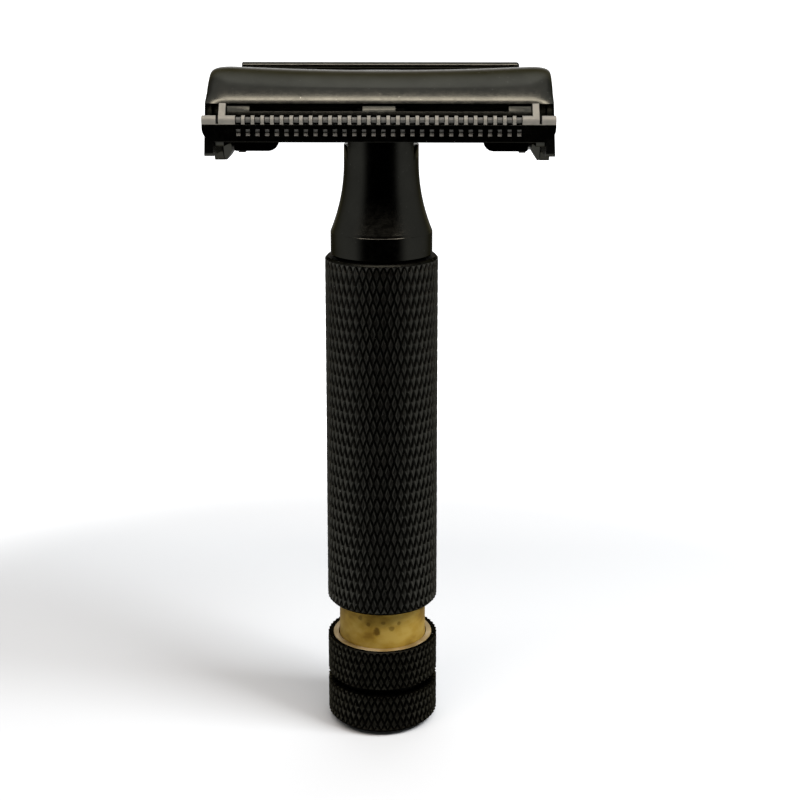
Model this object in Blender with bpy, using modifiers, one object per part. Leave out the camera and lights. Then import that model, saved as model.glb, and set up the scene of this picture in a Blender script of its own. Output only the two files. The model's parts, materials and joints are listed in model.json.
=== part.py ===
"""A twist-to-open single-edge safety razor, standing on its knob, cap closed.

Run with: blender --background --python part.py
Sizes are in millimetres and become metres in the helpers.  +Z is up, the
razor's edge side faces -Y, and the origin is the centre of the knob's base.

How it works: the knob, its shank and the draw rod turn as one and climb in the
thread bush, so the rod lifts a yoke.  Pins on the yoke's ends run in upright
slots in the bed and in slanting slots in the cap's ears, and swing the cap
back on its two hinge pins.
"""

import math

import bmesh
import bpy
from mathutils import Matrix

MM = 0.001
TURNED_STEPS = 40
SHEET = 0.8          # thickness of the pressed sheet metal
SLIP = 0.3           # usual gap between pieces that touch

# Heights along the handle
KNOB_TOP = 11.5
BARREL_BOTTOM = 16.5
BARREL_TOP = 61.5
NECK_BOTTOM = 61.7
HEAD_Z = 76.8        # the guard's lower edge: heights in the head count from here

# Radii of the turned pieces
GRIP_R = 7.06
SHANK_R = 5.55
BARREL_BORE_R = 5.85
KNOB_RECESS_R = 6.45
FLANGE_R = 6.35
NECK_R = 4.63
NECK_BORE_R = 3.0
ROD_R = 1.4
ROD_HOLE_R = 1.6

# The head, in X (half widths)
GUARD_HALF = 20.5
CAP_HALF = 20.4
WALL_OUT = 19.2      # outer face of the bed's end walls
WALL_IN = WALL_OUT - SHEET
YOKE_HALF = 17.9
LAND_HALF = 17.7     # the bed's front edge
RAIL_HALF = 17.6     # the bead on the back of the cap

# The head, in Y and in height above HEAD_Z
GUARD_FRONT = -10.9
ROLL_R = 0.52
ROLL_Y = GUARD_FRONT + ROLL_R
ROLL_Z = 2.63
WALL_FRONT = GUARD_FRONT + 0.1
WALL_BACK = WALL_FRONT + 0.7
FLOOR_TOP = 0.7
FLOOR_BACK = -2.5
NOTCHES = 30
NOTCH_PITCH = 1.12
BED_SLOPE = 0.0875
BED_BREAK = (-8.8, 4.03)
BED_BACK = 7.2
POST_IN, POST_OUT = 17.8, 18.55
CROWN = (-2.4, 8.1)          # the cap's highest line
CAP_FRONT_R = 7.0            # the cap's front is an arc of this radius
CAP_LIP = (-8.5, 4.36)       # the lip's lower edge

# The mechanism
HINGE = (6.5, -0.25)          # Y and height of the cap's hinge
YOKE_PIN = (3.5, -2.0)       # the same for the yoke's pins, cap closed
LIFT = 3.5                   # how far the yoke rises
PIN_R = 0.55
PIN_HOLE_R = 0.7
SLOT_HALF = 0.75
YOKE_TOP = -0.45
YOKE_BOTTOM = -1.1
FORK_HALF = 2.3              # half of the neck's slot for the yoke

BLACK = ((0.016, 0.016, 0.013), 0.38, 0.85)
BRASS = ((0.42, 0.27, 0.08), 0.34, 1.0)
STEEL = ((0.45, 0.44, 0.42), 0.35, 1.0)

SIDE_VIEW = Matrix(((0, 0, 1, 0), (1, 0, 0, 0), (0, 1, 0, 0), (0, 0, 0, 1)))
FRONT_VIEW = Matrix(((1, 0, 0, 0), (0, 0, -1, 0), (0, 1, 0, 0), (0, 0, 0, 1)))
TOP_VIEW = Matrix.Identity(4)


def clear_scene():
    for thing in list(bpy.data.objects):
        bpy.data.objects.remove(thing, do_unlink=True)


def new_collection(name):
    group = bpy.data.collections.new(name)
    bpy.context.scene.collection.children.link(group)
    return group


clear_scene()
PARTS = new_collection("safety_razor")
CUTTERS = new_collection("safety_razor_cutters")


# ---------------------------------------------------------------- helpers

def add_object(name, mesh):
    """Put a mesh in the parts collection."""
    thing = bpy.data.objects.new(name, mesh)
    PARTS.objects.link(thing)
    return thing


def make_cutter(thing):
    """Move an object to the cutters, out of the finished razor."""
    PARTS.objects.unlink(thing)
    CUTTERS.objects.link(thing)
    thing.hide_render = True
    thing.display_type = "WIRE"
    return thing


def finish(thing, look, parent=None):
    """Give a piece its own material, smooth shading and its joint's empty."""
    colour, roughness, metallic = look
    coat = bpy.data.materials.new(thing.name + "_finish")
    coat.use_nodes = True
    shader = coat.node_tree.nodes["Principled BSDF"]
    shader.inputs["Base Color"].default_value = (*colour, 1.0)
    shader.inputs["Roughness"].default_value = roughness
    shader.inputs["Metallic"].default_value = metallic
    thing.data.materials.clear()
    thing.data.materials.append(coat)
    thing.data.shade_smooth()
    thing.data.set_sharp_from_angle(angle=math.radians(30))
    if parent:
        thing.parent = parent
        thing.matrix_parent_inverse = parent.matrix_world.inverted()
    return thing


def box(name, low, high):
    """A box between two corners."""
    bm = bmesh.new()
    bmesh.ops.create_cube(bm, size=1.0)
    for vert in bm.verts:
        for axis in range(3):
            middle = (low[axis] + high[axis]) / 2
            vert.co[axis] = (middle + vert.co[axis] * (high[axis] - low[axis])) * MM
    mesh = bpy.data.meshes.new(name)
    bm.to_mesh(mesh)
    bm.free()
    return add_object(name, mesh)


def turned(name, profile, closed=False, steps=TURNED_STEPS):
    """Turn (radius, height) points about the Z axis; the outer side runs down."""
    points = [(radius * MM, 0.0, height * MM) for radius, height in profile]
    edges = [(i, i + 1) for i in range(len(points) - 1)]
    if closed:
        edges.append((len(points) - 1, 0))
    mesh = bpy.data.meshes.new(name)
    mesh.from_pydata(points, edges, [])
    thing = add_object(name, mesh)
    screw = thing.modifiers.new("turn", "SCREW")
    screw.steps = screw.render_steps = steps
    screw.use_merge_vertices = True
    screw.merge_threshold = 1e-6
    screw.use_smooth_shade = True
    return thing


def ring(name, inner, outer, bottom, top, steps=TURNED_STEPS):
    """A washer or sleeve."""
    profile = [(inner, top), (outer, top), (outer, bottom), (inner, bottom)]
    return turned(name, profile, closed=True, steps=steps)


def outline_solid(name, outlines, view, centre, thickness):
    """Thicken flat closed outlines; a later outline inside the first is a hole.

    view turns the drawing's plane, and centre is its middle along its normal.
    """
    curve = bpy.data.curves.new(name, "CURVE")
    curve.dimensions = "2D"
    curve.fill_mode = "BOTH"
    curve.extrude = thickness * MM / 2
    for outline in outlines:
        spline = curve.splines.new("POLY")
        spline.points.add(len(outline) - 1)
        for point, (across, up) in zip(spline.points, outline):
            point.co = (across * MM, up * MM, 0.0, 1.0)
        spline.use_cyclic_u = True
    drawing = add_object(name + "_drawing", curve)
    bpy.context.view_layer.update()
    graph = bpy.context.evaluated_depsgraph_get()
    mesh = bpy.data.meshes.new_from_object(drawing.evaluated_get(graph))
    bpy.data.objects.remove(drawing)
    mesh.transform(view @ Matrix.Translation((0, 0, centre * MM)))
    bm = bmesh.new()
    bm.from_mesh(mesh)
    bmesh.ops.remove_doubles(bm, verts=bm.verts, dist=1e-7)
    bmesh.ops.recalc_face_normals(bm, faces=bm.faces)
    bm.to_mesh(mesh)
    bm.free()
    mesh.name = name
    return add_object(name, mesh)


def loft_along_x(name, sections):
    """Join outlines of the same number of points, each at its own X, into one solid."""
    bm = bmesh.new()
    rings = []
    for place, outline in sections:
        rings.append([bm.verts.new((place * MM, across * MM, up * MM))
                      for across, up in head(outline)])
    for ring_a, ring_b in zip(rings, rings[1:]):
        for i in range(len(ring_a)):
            j = (i + 1) % len(ring_a)
            bm.faces.new((ring_a[i], ring_a[j], ring_b[j], ring_b[i]))
    bm.faces.new(rings[0])
    bm.faces.new(rings[-1])
    bmesh.ops.recalc_face_normals(bm, faces=bm.faces)
    mesh = bpy.data.meshes.new(name)
    bm.to_mesh(mesh)
    bm.free()
    return add_object(name, mesh)


def arc(centre, radius, start, end, steps):
    """Points on an arc, its angles in degrees."""
    turn = [math.radians(start + (end - start) * i / steps) for i in range(steps + 1)]
    return [(centre[0] + radius * math.cos(a), centre[1] + radius * math.sin(a)) for a in turn]


def circle(centre, radius, steps=16):
    return arc(centre, radius, 0, 360, steps)[:-1]


def slot(start, end, half, steps=6):
    """A round-ended slot between two centres."""
    lean = math.degrees(math.atan2(end[1] - start[1], end[0] - start[0]))
    return (arc(end, half, lean - 90, lean + 90, steps)
            + arc(start, half, lean + 90, lean + 270, steps))


def rounded(corners, steps=4):
    """An outline from (across, up, radius) corners."""
    points = []
    for i, (x, y, radius) in enumerate(corners):
        before, after = corners[i - 1], corners[(i + 1) % len(corners)]
        if not radius:
            points.append((x, y))
            continue
        back = math.atan2(before[1] - y, before[0] - x)
        ahead = math.atan2(after[1] - y, after[0] - x)
        opening = (ahead - back + math.pi) % (2 * math.pi) - math.pi
        middle = back + opening / 2
        reach = radius / abs(math.sin(opening / 2))
        centre = (x + reach * math.cos(middle), y + reach * math.sin(middle))
        side = math.copysign(90, opening)
        first = math.degrees(back) - side
        sweep = math.copysign(180, opening) - math.degrees(opening)
        points += arc(centre, radius, first, first - sweep, steps)
    return points


def offset(line, distance):
    """Shift an open line sideways, to its right, by a distance."""
    shifted = []
    for i, (x, y) in enumerate(line):
        before, after = line[max(i - 1, 0)], line[min(i + 1, len(line) - 1)]
        along = math.hypot(after[0] - before[0], after[1] - before[1])
        across = ((after[1] - before[1]) / along, (before[0] - after[0]) / along)
        shifted.append((x + across[0] * distance, y + across[1] * distance))
    return shifted


def boolean(thing, other, operation="DIFFERENCE"):
    """Cut, join or intersect a piece with a cutter."""
    step = thing.modifiers.new(other.name, "BOOLEAN")
    step.operation = operation
    step.object = make_cutter(other)
    return thing


def head(points):
    """Heights in the head become heights above the knob's base."""
    return [(across, up + HEAD_Z) for across, up in points]


def empty(name, place, parent=None):
    """A joint's frame."""
    thing = bpy.data.objects.new(name, None)
    PARTS.objects.link(thing)
    thing.location = [value * MM for value in place]
    bpy.context.view_layer.update()
    if parent:
        thing.parent = parent
        thing.matrix_parent_inverse = parent.matrix_world.inverted()
        bpy.context.view_layer.update()
    return thing


# ----------------------------------------------------- the turned handle

def handle_barrel():
    """The grip tube, with a small chamfer at each end."""
    edge = 0.45
    profile = [(BARREL_BORE_R, BARREL_TOP), (GRIP_R - edge, BARREL_TOP),
               (GRIP_R, BARREL_TOP - edge), (GRIP_R, BARREL_BOTTOM + edge),
               (GRIP_R - edge, BARREL_BOTTOM), (BARREL_BORE_R, BARREL_BOTTOM)]
    return turned("handle_barrel", profile, closed=True)


def neck_curve(height):
    """The neck's radius as it tapers from the flange up to the head."""
    start, end = 64.75, 73.4
    part = min(max((height - start) / (end - start), 0.0), 1.0)
    return NECK_R + (6.28 - NECK_R) * (1 - part) ** 2.1


def neck_adapter():
    """Flange, curved neck and the fork that holds the head and lets the yoke by."""
    top = HEAD_Z + 3.3
    spigot_bottom, bush_seat = 50.0, 58.4
    taper = [64.75 + 8.65 * i / 7 for i in range(8)]
    profile = [(NECK_BORE_R, top), (NECK_R, top)]
    profile += [(neck_curve(height), height) for height in reversed(taper)]
    profile += [(FLANGE_R, 64.6), (FLANGE_R, NECK_BOTTOM), (SHANK_R, NECK_BOTTOM),
                (SHANK_R, spigot_bottom), (3.7, spigot_bottom), (3.7, bush_seat),
                (NECK_BORE_R, bush_seat)]
    neck = turned("neck_adapter", profile, closed=True)
    fork = box("neck_fork_cut", (-8, -FORK_HALF, HEAD_Z - 1.45), (8, FORK_HALF, top + 1))
    return boolean(neck, fork)


def thread_bush():
    """The threaded bush inside the neck that the draw rod climbs in."""
    return ring("thread_bush", ROD_HOLE_R, 3.4, 52.0, 58.1, steps=32)


# ------------------------------------------------------------- the head

def guard_plate():
    """Floor, front wall, roll and blade stops, pressed from one sheet, with drain slots."""
    roll = arc((ROLL_Y, ROLL_Z), ROLL_R, -35, 215, 8)
    section = [(FLOOR_BACK, 0.0), (FLOOR_BACK, FLOOR_TOP), (WALL_BACK, FLOOR_TOP),
               (WALL_BACK, 2.25)] + roll + [(WALL_FRONT, 2.25), (WALL_FRONT, 0.0)]
    guard = outline_solid("guard_plate", [head(section)], SIDE_VIEW, 0, 2 * GUARD_HALF)
    face = rounded([(-GUARD_HALF, 0.0, 1.6), (GUARD_HALF, 0.0, 1.6),
                    (GUARD_HALF, 3.3, 0.35), (-GUARD_HALF, 3.3, 0.35)])
    boolean(guard, outline_solid("guard_face", [head(face)], FRONT_VIEW, 6.8, 9.2), "INTERSECT")
    post = rounded([(WALL_FRONT - 0.08, 1.6, 0), (WALL_BACK, 1.6, 0), (WALL_BACK, 2.9, 0),
                    (-9.2, 4.2, 0.15), (-9.5, 4.45, 0.1), (WALL_FRONT - 0.08, 2.7, 0.3)])
    for side in (-1, 1):
        low, high = sorted((side * (WALL_IN - 0.5), side * 22))
        boolean(guard, box("floor_side_cut", (low, -8.7, HEAD_Z - 1), (high, 0, HEAD_Z + 1.9)))
        low, high = sorted((side * POST_OUT, side * (POST_OUT + 0.2)))
        boolean(guard, box("roll_slit", (low, -12, HEAD_Z + 2.1), (high, -9.5, HEAD_Z + 4)))
        boolean(guard, outline_solid("stop_post", [head(post)], SIDE_VIEW,
                                     side * (POST_IN + POST_OUT) / 2, POST_OUT - POST_IN), "UNION")
    boolean(guard, turned("neck_hole", [(0, HEAD_Z + 2), (NECK_R + SLIP, HEAD_Z + 2),
                                        (NECK_R + SLIP, HEAD_Z - 2), (0, HEAD_Z - 2)], steps=32))
    for label, low, high, width, deep in (("notches", 2.2, 3.6, 0.6, ROLL_Y - 0.2),
                                          ("drain_slots", 0.6, 1.4, 0.5, -9.5)):
        first = -(NOTCHES - 1) * NOTCH_PITCH / 2 - width / 2
        cutter = box(label, (first, -12, HEAD_Z + low), (first + width, deep, HEAD_Z + high))
        row = cutter.modifiers.new("row", "ARRAY")
        row.count = NOTCHES
        row.use_relative_offset = False
        row.use_constant_offset = True
        row.constant_offset_displace = (NOTCH_PITCH * MM, 0, 0)
        boolean(guard, cutter)
    return guard


def bed_top(across):
    """Height of the blade's seat behind the bevelled front."""
    return BED_BREAK[1] + (across - BED_BREAK[0]) * BED_SLOPE


def blade_bed():
    """The seat under the blade, with two drain windows and folded-down ends."""
    front = (-9.45, 3.45)
    top = [front, BED_BREAK, (BED_BACK, bed_top(BED_BACK))]
    under = offset(top, SHEET)
    section = head(top + under[::-1])
    bed = outline_solid("blade_bed", [section], SIDE_VIEW, 0, 2 * WALL_OUT)
    wall = rounded([(-7.0, 3.8, 0), (-7.0, -1.0, 0.8), (0.2, -1.3, 1.5), (1.4, -3.7, 1.2),
                    (7.0, -3.7, 1.8), (7.9, 0.0, 1.0), (7.6, 2.6, 0.8), (BED_BACK, 5.0, 0)])
    holes = [circle(HINGE, PIN_HOLE_R),
             slot(YOKE_PIN, (YOKE_PIN[0], YOKE_PIN[1] + LIFT), PIN_HOLE_R)]
    for side in (-1, 1):
        low, high = sorted((side * LAND_HALF, side * 22))
        boolean(bed, box("land_end_cut", (low, -12, HEAD_Z), (high, -7.0, HEAD_Z + 6)))
        end = outline_solid("bed_end", [head(wall)] + [head(hole) for hole in holes],
                            SIDE_VIEW, side * (WALL_OUT - SHEET / 2), SHEET)
        boolean(bed, end, "UNION")
        low, high = sorted((side * 1.9, side * 15.1))
        window = rounded([(low, -9.05, 0.4), (high, -9.05, 0.4), (high, -5.3, 0.4),
                          (low, -5.3, 0.4)])
        boolean(bed, outline_solid("window", [window], TOP_VIEW, HEAD_Z + 4, 6))
    return bed


def hinge_pin(name, side):
    """A headed pin through the bed's end wall and the cap's ear."""
    profile = [(0, 20.9), (0.95, 20.8), (1.05, 20.55), (PIN_R, 20.55), (PIN_R, 18.2),
               (1.0, 18.2), (1.0, 17.9), (0, 17.9)]
    return across_pin(name, side, profile, HINGE)


def across_pin(name, side, profile, place):
    """Lay a turned pin along X, pointing out of one side of the head."""
    pin = turned(name, profile, steps=20)
    pin.rotation_euler = (0, side * math.pi / 2, 0)
    pin.location = (0, place[0] * MM, (place[1] + HEAD_Z) * MM)
    bpy.context.view_layer.update()
    return pin


# --------------------------------------------------------- the carriage

def lift_yoke():
    """The strip through the neck's fork, with stiffening flanges and end ears."""
    flange_x, end_back = 12.45, 4.9
    plan = rounded([(-YOKE_HALF, -1.8, 0), (YOKE_HALF, -1.8, 0), (YOKE_HALF, end_back, 0.4),
                    (14.6, end_back, 0.8), (13.6, 1.8, 1.2), (-13.6, 1.8, 1.2),
                    (-14.6, end_back, 0.8), (-YOKE_HALF, end_back, 0.4)])
    hole = circle((0, 0), ROD_HOLE_R)
    yoke = outline_solid("lift_yoke", [plan, hole], TOP_VIEW,
                         HEAD_Z + (YOKE_TOP + YOKE_BOTTOM) / 2, YOKE_TOP - YOKE_BOTTOM)
    ear = rounded([(2.0, -0.8, 0), (2.0, -2.2, 0.9), (2.6, -2.9, 0.9), (4.4, -2.9, 0.9),
                   (end_back, -2.2, 0.9), (end_back, -0.8, 0)])
    pin_hole = circle(YOKE_PIN, PIN_R + 0.1)
    for side in (-1, 1):
        flange = rounded([(side * flange_x, -0.8, 0), (side * flange_x, -2.15, 1.25),
                          (side * YOKE_HALF, -2.15, 0.3), (side * YOKE_HALF, -0.8, 0)])
        boolean(yoke, outline_solid("flange", [head(flange)], FRONT_VIEW, 1.45, 0.7), "UNION")
        boolean(yoke, outline_solid("yoke_ear", [head(ear), head(pin_hole)], SIDE_VIEW,
                                    side * (YOKE_HALF - SHEET / 2), SHEET), "UNION")
    return yoke


def yoke_pin(name, side):
    """A headed pin on the yoke that runs in the bed's and the cap's slots."""
    profile = [(0, 20.35), (PIN_R - 0.1, 20.35), (PIN_R, 20.25), (PIN_R, 16.9), (0.7, 16.9),
               (0.7, 16.6), (0, 16.6)]
    return across_pin(name, side, profile, YOKE_PIN)


def thrust_washer():
    """The washer between the rod's shoulder and the yoke."""
    return ring("thrust_washer", ROD_HOLE_R, 2.7, HEAD_Z - 1.8, HEAD_Z - 1.4, steps=32)


# ------------------------------------------------------------- the knob

def knob():
    """The turning knob: one groove round its middle and a bored, recessed top."""
    groove_z, groove_deep, bore = 6.0, 0.5, 3.3
    top_edge, foot_r, foot_high = 0.25, 6.0, 0.7
    profile = [(bore, 10.9), (KNOB_RECESS_R, 10.9), (KNOB_RECESS_R, KNOB_TOP),
               (GRIP_R - top_edge, KNOB_TOP), (GRIP_R, KNOB_TOP - top_edge),
               (GRIP_R, groove_z + 0.5), (GRIP_R - groove_deep, groove_z + 0.45),
               (GRIP_R - groove_deep, groove_z - 0.45), (GRIP_R, groove_z - 0.5),
               (GRIP_R, foot_high), (foot_r, 0.0), (bore, 0.0)]
    return turned("knob", profile, closed=True)


def knob_end_plug():
    """The flat plug that closes the knob's bore and carries the razor's weight."""
    return turned("knob_end_plug", [(0, 2.7), (2.8, 2.7), (3.05, 2.45), (3.05, 0.0), (0, 0)],
                  steps=32)


def knob_shank():
    """The bare brass shank that slides and turns in the barrel."""
    top, seat, spigot_r, spigot_bottom = 28.0, 11.1, 3.05, 3.0
    profile = [(ROD_HOLE_R, top), (SHANK_R - 0.4, top), (SHANK_R, top - 0.4), (SHANK_R, seat),
               (spigot_r, seat), (spigot_r, spigot_bottom), (ROD_HOLE_R, spigot_bottom)]
    return turned("knob_shank", profile, closed=True)


def shank_collar():
    """The brass ring let into the knob's top round the shank."""
    return ring("shank_collar", SHANK_R + 0.1, KNOB_RECESS_R - 0.1, 11.1, KNOB_TOP)


def draw_rod():
    """The rod from the knob up to the yoke, with the shoulder that lifts it."""
    shoulder_r, top = 2.3, HEAD_Z + 0.2
    profile = [(0, top), (ROD_R - 0.2, top), (ROD_R, top - 0.2), (ROD_R, HEAD_Z - 2.0),
               (shoulder_r, HEAD_Z - 2.0), (shoulder_r, HEAD_Z - 4.4), (ROD_R, HEAD_Z - 4.4),
               (ROD_R, 3.3), (0, 3.3)]
    return turned("draw_rod", profile, steps=32)


def rod_nut():
    """The hexagon nut that locks the rod to the shank."""
    outline = circle((0, 0), 3.1, steps=6)
    return outline_solid("rod_nut", [outline, circle((0, 0), ROD_HOLE_R)], TOP_VIEW, 29.3, 2.2)


def rod_clip():
    """The clip on the rod's end that keeps the yoke on it."""
    return ring("rod_clip", ROD_HOLE_R, 2.2, HEAD_Z - 0.35, HEAD_Z + 0.1, steps=32)


# -------------------------------------------------------------- the cap

def cap_line():
    """The cap's outer line from the lip's lower edge over the crown to the back."""
    centre = (CROWN[0], CROWN[1] - CAP_FRONT_R)
    front = arc(centre, CAP_FRONT_R, 150.3, 90, 8)
    back = [(CROWN[0] + step, CROWN[1] - step * step / 60) for step in (2.4, 4.4, 6.4, 8.4)]
    return [CAP_LIP] + front + back + [(7.3, 6.72), (8.8, 6.7)]


def cap_shell():
    """The curved cover with its lip, back skirt and two slotted ears."""
    skirt_bottom, corner_wide, corner_high = 1.0, 1.8, 0.9
    line = cap_line()
    below = rounded([(8.8, 6.7, 0), (8.8, 2.2, 1.0), (8.4, -1.6, 2.0), (6.6, -3.75, 1.4),
                     (1.9, -3.75, 1.4), (0.3, -2.3, 1.6), (-7.9, -2.05, 0.6), (*CAP_LIP, 0)])
    outline = line + below[1:-1]
    sections = []
    for turn in (90, 65, 40, 15, 0):
        angle = math.radians(turn)
        place = CAP_HALF - corner_wide * (1 - math.sin(angle))
        sections.append((place, lowered(outline, corner_high * (1 - math.cos(angle)))))
    sections += [(-place, section) for place, section in reversed(sections)]
    cap = loft_along_x("cap_shell", sections)
    inner = offset(line, SHEET)
    hollow = [(-12, 4.36), (inner[0][0], 4.36)] + inner[2:-1]
    hollow += [(8.0, 5.9), (8.0, skirt_bottom), (12, skirt_bottom), (12, -8), (-12, -8)]
    boolean(cap, outline_solid("cap_hollow", [head(hollow)], SIDE_VIEW, 0,
                               2 * (CAP_HALF - SHEET)))
    far = (HINGE[0] - YOKE_PIN[0], HINGE[1] - YOKE_PIN[1])
    reach = math.hypot(*far)
    near = (HINGE[0] - far[0] * 2.95 / reach, HINGE[1] - far[1] * 2.95 / reach)
    boolean(cap, outline_solid("ear_slots", [head(slot(near, YOKE_PIN, SLOT_HALF))],
                               SIDE_VIEW, 0, 50))
    return boolean(cap, outline_solid("hinge_holes", [head(circle(HINGE, PIN_HOLE_R))],
                                      SIDE_VIEW, 0, 50))


def lowered(outline, drop):
    """The cap's outline near its ends, where the cover turns down into the ears."""
    moved = []
    for across, up in outline:
        share = min(max((up - CAP_LIP[1] - 0.2) / 2.8, 0), 1)
        moved.append((across, up - drop * share))
    return moved


def cap_back_rail():
    """The round-ended bead along the back of the cap."""
    bead_r, bead_y, bead_z = 0.5, 8.0, 7.45
    quarter = arc((RAIL_HALF - bead_r, 0), bead_r, 90, 0, 4)
    profile = [(up, along) for along, up in reversed(quarter)]
    profile += [(up, -along) for up, along in reversed(profile)]
    rail = turned("cap_back_rail", profile, steps=16)
    rail.rotation_euler = (0, math.pi / 2, 0)
    rail.location = (0, bead_y * MM, (bead_z + HEAD_Z) * MM)
    bpy.context.view_layer.update()
    return rail


def blade_spring():
    """The leaf under the cap that presses the blade on its bed."""
    top = [(-4.8, 5.55), (-3.0, 5.9), (0.0, 6.6), (2.0, 6.6), (4.2, 6.1)]
    section = head(top + offset(top, 0.35)[::-1])
    leaf = outline_solid("blade_spring", [section], SIDE_VIEW, 0, 22)
    for side in (-1, 1):
        boolean(leaf, outline_solid("rivet_hole", [circle((side * 8, 2.2), 0.75, 16)],
                                    TOP_VIEW, HEAD_Z + 6.7, 3))
    return leaf


def spring_rivet(name, side):
    """One of the two rivets that hold the leaf to the cap."""
    profile = [(0, 6.75), (0.6, 6.75), (0.6, 5.85), (1.2, 5.85), (1.05, 5.6), (0, 5.5)]
    rivet = turned(name, [(radius, HEAD_Z + height) for radius, height in profile], steps=16)
    rivet.location = (side * 8 * MM, 2.2 * MM, 0)
    bpy.context.view_layer.update()
    return rivet


# ------------------------------------------------------------- assembly

HANDLE_FRAME = empty("handle_frame", (0, 0, 0))
CARRIAGE_FRAME = empty("carriage_frame", (0, 0, HEAD_Z), HANDLE_FRAME)
KNOB_FRAME = empty("knob_frame", (0, 0, 0), CARRIAGE_FRAME)
CAP_FRAME = empty("cap_frame", (0, HINGE[0], HEAD_Z + HINGE[1]), HANDLE_FRAME)

for make, look in ((handle_barrel, BLACK), (neck_adapter, BLACK), (thread_bush, BRASS),
                   (guard_plate, BLACK), (blade_bed, BLACK)):
    finish(make(), look, HANDLE_FRAME)

for make, look in ((lift_yoke, BLACK), (thrust_washer, STEEL)):
    finish(make(), look, CARRIAGE_FRAME)

for make, look in ((knob, BLACK), (knob_end_plug, BLACK), (knob_shank, BRASS),
                   (shank_collar, BRASS), (draw_rod, BRASS), (rod_nut, BRASS),
                   (rod_clip, STEEL)):
    finish(make(), look, KNOB_FRAME)

for make, look in ((cap_shell, BLACK), (cap_back_rail, BLACK), (blade_spring, STEEL)):
    finish(make(), look, CAP_FRAME)

for word, sign in (("left", -1), ("right", 1)):
    finish(hinge_pin("hinge_pin_" + word, sign), BLACK, HANDLE_FRAME)
    finish(yoke_pin("yoke_pin_" + word, sign), STEEL, CARRIAGE_FRAME)
    finish(spring_rivet("spring_rivet_" + word, sign), BRASS, CAP_FRAME)
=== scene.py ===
# %% [markdown]
# A twist-to-open safety razor, black-coated brass, standing on its knob.
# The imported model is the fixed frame: it says where each piece is and how it moves. This
# lesson lays the fine surface over it: the knurled grip, the notched guard, the smooth
# cap, the coating and the bare, spotted brass.

# %% Load the frame
import json
import math

import bmesh
import bpy
from mathutils import Matrix, Vector


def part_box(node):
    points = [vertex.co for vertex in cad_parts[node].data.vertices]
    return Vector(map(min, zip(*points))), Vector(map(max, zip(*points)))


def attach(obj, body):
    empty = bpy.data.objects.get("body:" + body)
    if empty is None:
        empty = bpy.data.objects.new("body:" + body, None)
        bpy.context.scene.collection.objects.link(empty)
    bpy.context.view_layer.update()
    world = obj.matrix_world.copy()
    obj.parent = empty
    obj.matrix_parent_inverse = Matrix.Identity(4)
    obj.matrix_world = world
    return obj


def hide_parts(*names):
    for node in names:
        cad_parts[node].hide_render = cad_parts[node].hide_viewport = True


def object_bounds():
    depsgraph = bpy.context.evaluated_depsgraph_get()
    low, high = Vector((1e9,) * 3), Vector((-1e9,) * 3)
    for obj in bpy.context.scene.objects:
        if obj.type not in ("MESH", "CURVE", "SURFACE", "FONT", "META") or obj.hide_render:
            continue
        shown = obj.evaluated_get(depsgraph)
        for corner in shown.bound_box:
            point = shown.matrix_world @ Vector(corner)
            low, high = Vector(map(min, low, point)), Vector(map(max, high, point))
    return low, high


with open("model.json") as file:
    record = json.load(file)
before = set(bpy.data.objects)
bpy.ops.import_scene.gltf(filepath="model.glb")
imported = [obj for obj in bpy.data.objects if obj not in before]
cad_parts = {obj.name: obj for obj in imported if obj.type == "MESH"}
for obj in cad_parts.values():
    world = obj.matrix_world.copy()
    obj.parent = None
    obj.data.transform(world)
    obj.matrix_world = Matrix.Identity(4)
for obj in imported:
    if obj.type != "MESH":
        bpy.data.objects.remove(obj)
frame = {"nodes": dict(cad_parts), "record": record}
cad_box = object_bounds()
MM = 0.001
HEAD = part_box("guard_plate")[0].z / MM
print("the razor is", [round((high - low) / MM, 1) for low, high in zip(*cad_box)], "mm")
print("the head starts", round(HEAD, 2), "mm above the base")

# %% [markdown]
# The camera stands a little to the right of the razor and just above its head, looking
# down by eleven degrees. The lens axis passes above the middle of the picture, so the
# frame is shifted down instead of tilting further, which keeps the handle upright.

# %% Camera
CAMERA_TURN = 0.94
CAMERA_TILT = 11.0
stand = Matrix.Rotation(math.radians(CAMERA_TURN), 4, "Z") @ Vector((2.3, -183.6, 96.9))
camera = bpy.data.objects.new("camera", bpy.data.cameras.new("camera"))
bpy.context.scene.collection.objects.link(camera)
camera.location = stand * MM
camera.rotation_euler = (math.radians(90 - CAMERA_TILT), 0, math.radians(CAMERA_TURN))
camera.data.sensor_width = 36
camera.data.lens = 67.5
camera.data.shift_y = -0.179
camera.data.clip_start = 0.01
bpy.context.scene.camera = camera
bpy.context.scene.view_settings.view_transform = "Standard"
print("the camera is", round(stand.length), "mm from the base")

# %% [markdown]
# A glossy black thing is mostly a picture of the room round it, so the room matters more
# than the lamps. Here it is a gradient in the world: a bright ceiling, dim sides, nothing
# at eye level in front, and pale paper below. The camera itself sees plain white.

# %% The room as a world gradient
def link(tree, source, target):
    tree.links.new(source, target)


def math_node(tree, operation, first, second=0.0):
    """A Math node; each input is a number or an output socket."""
    node = tree.nodes.new("ShaderNodeMath")
    node.operation = operation
    for socket, value in zip(node.inputs, (first, second)):
        if isinstance(value, (int, float)):
            socket.default_value = value
        else:
            link(tree, value, socket)
    return node.outputs[0]


def ramp_between(tree, value, low, high, bottom=0.0, top=1.0):
    """A soft step from bottom to top as value goes from low to high."""
    node = tree.nodes.new("ShaderNodeMapRange")
    node.interpolation_type = "SMOOTHSTEP"
    link(tree, value, node.inputs["Value"])
    settings = (("From Min", low), ("From Max", high), ("To Min", bottom), ("To Max", top))
    for name, number in settings:
        node.inputs[name].default_value = number
    return node.outputs["Result"]


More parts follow.
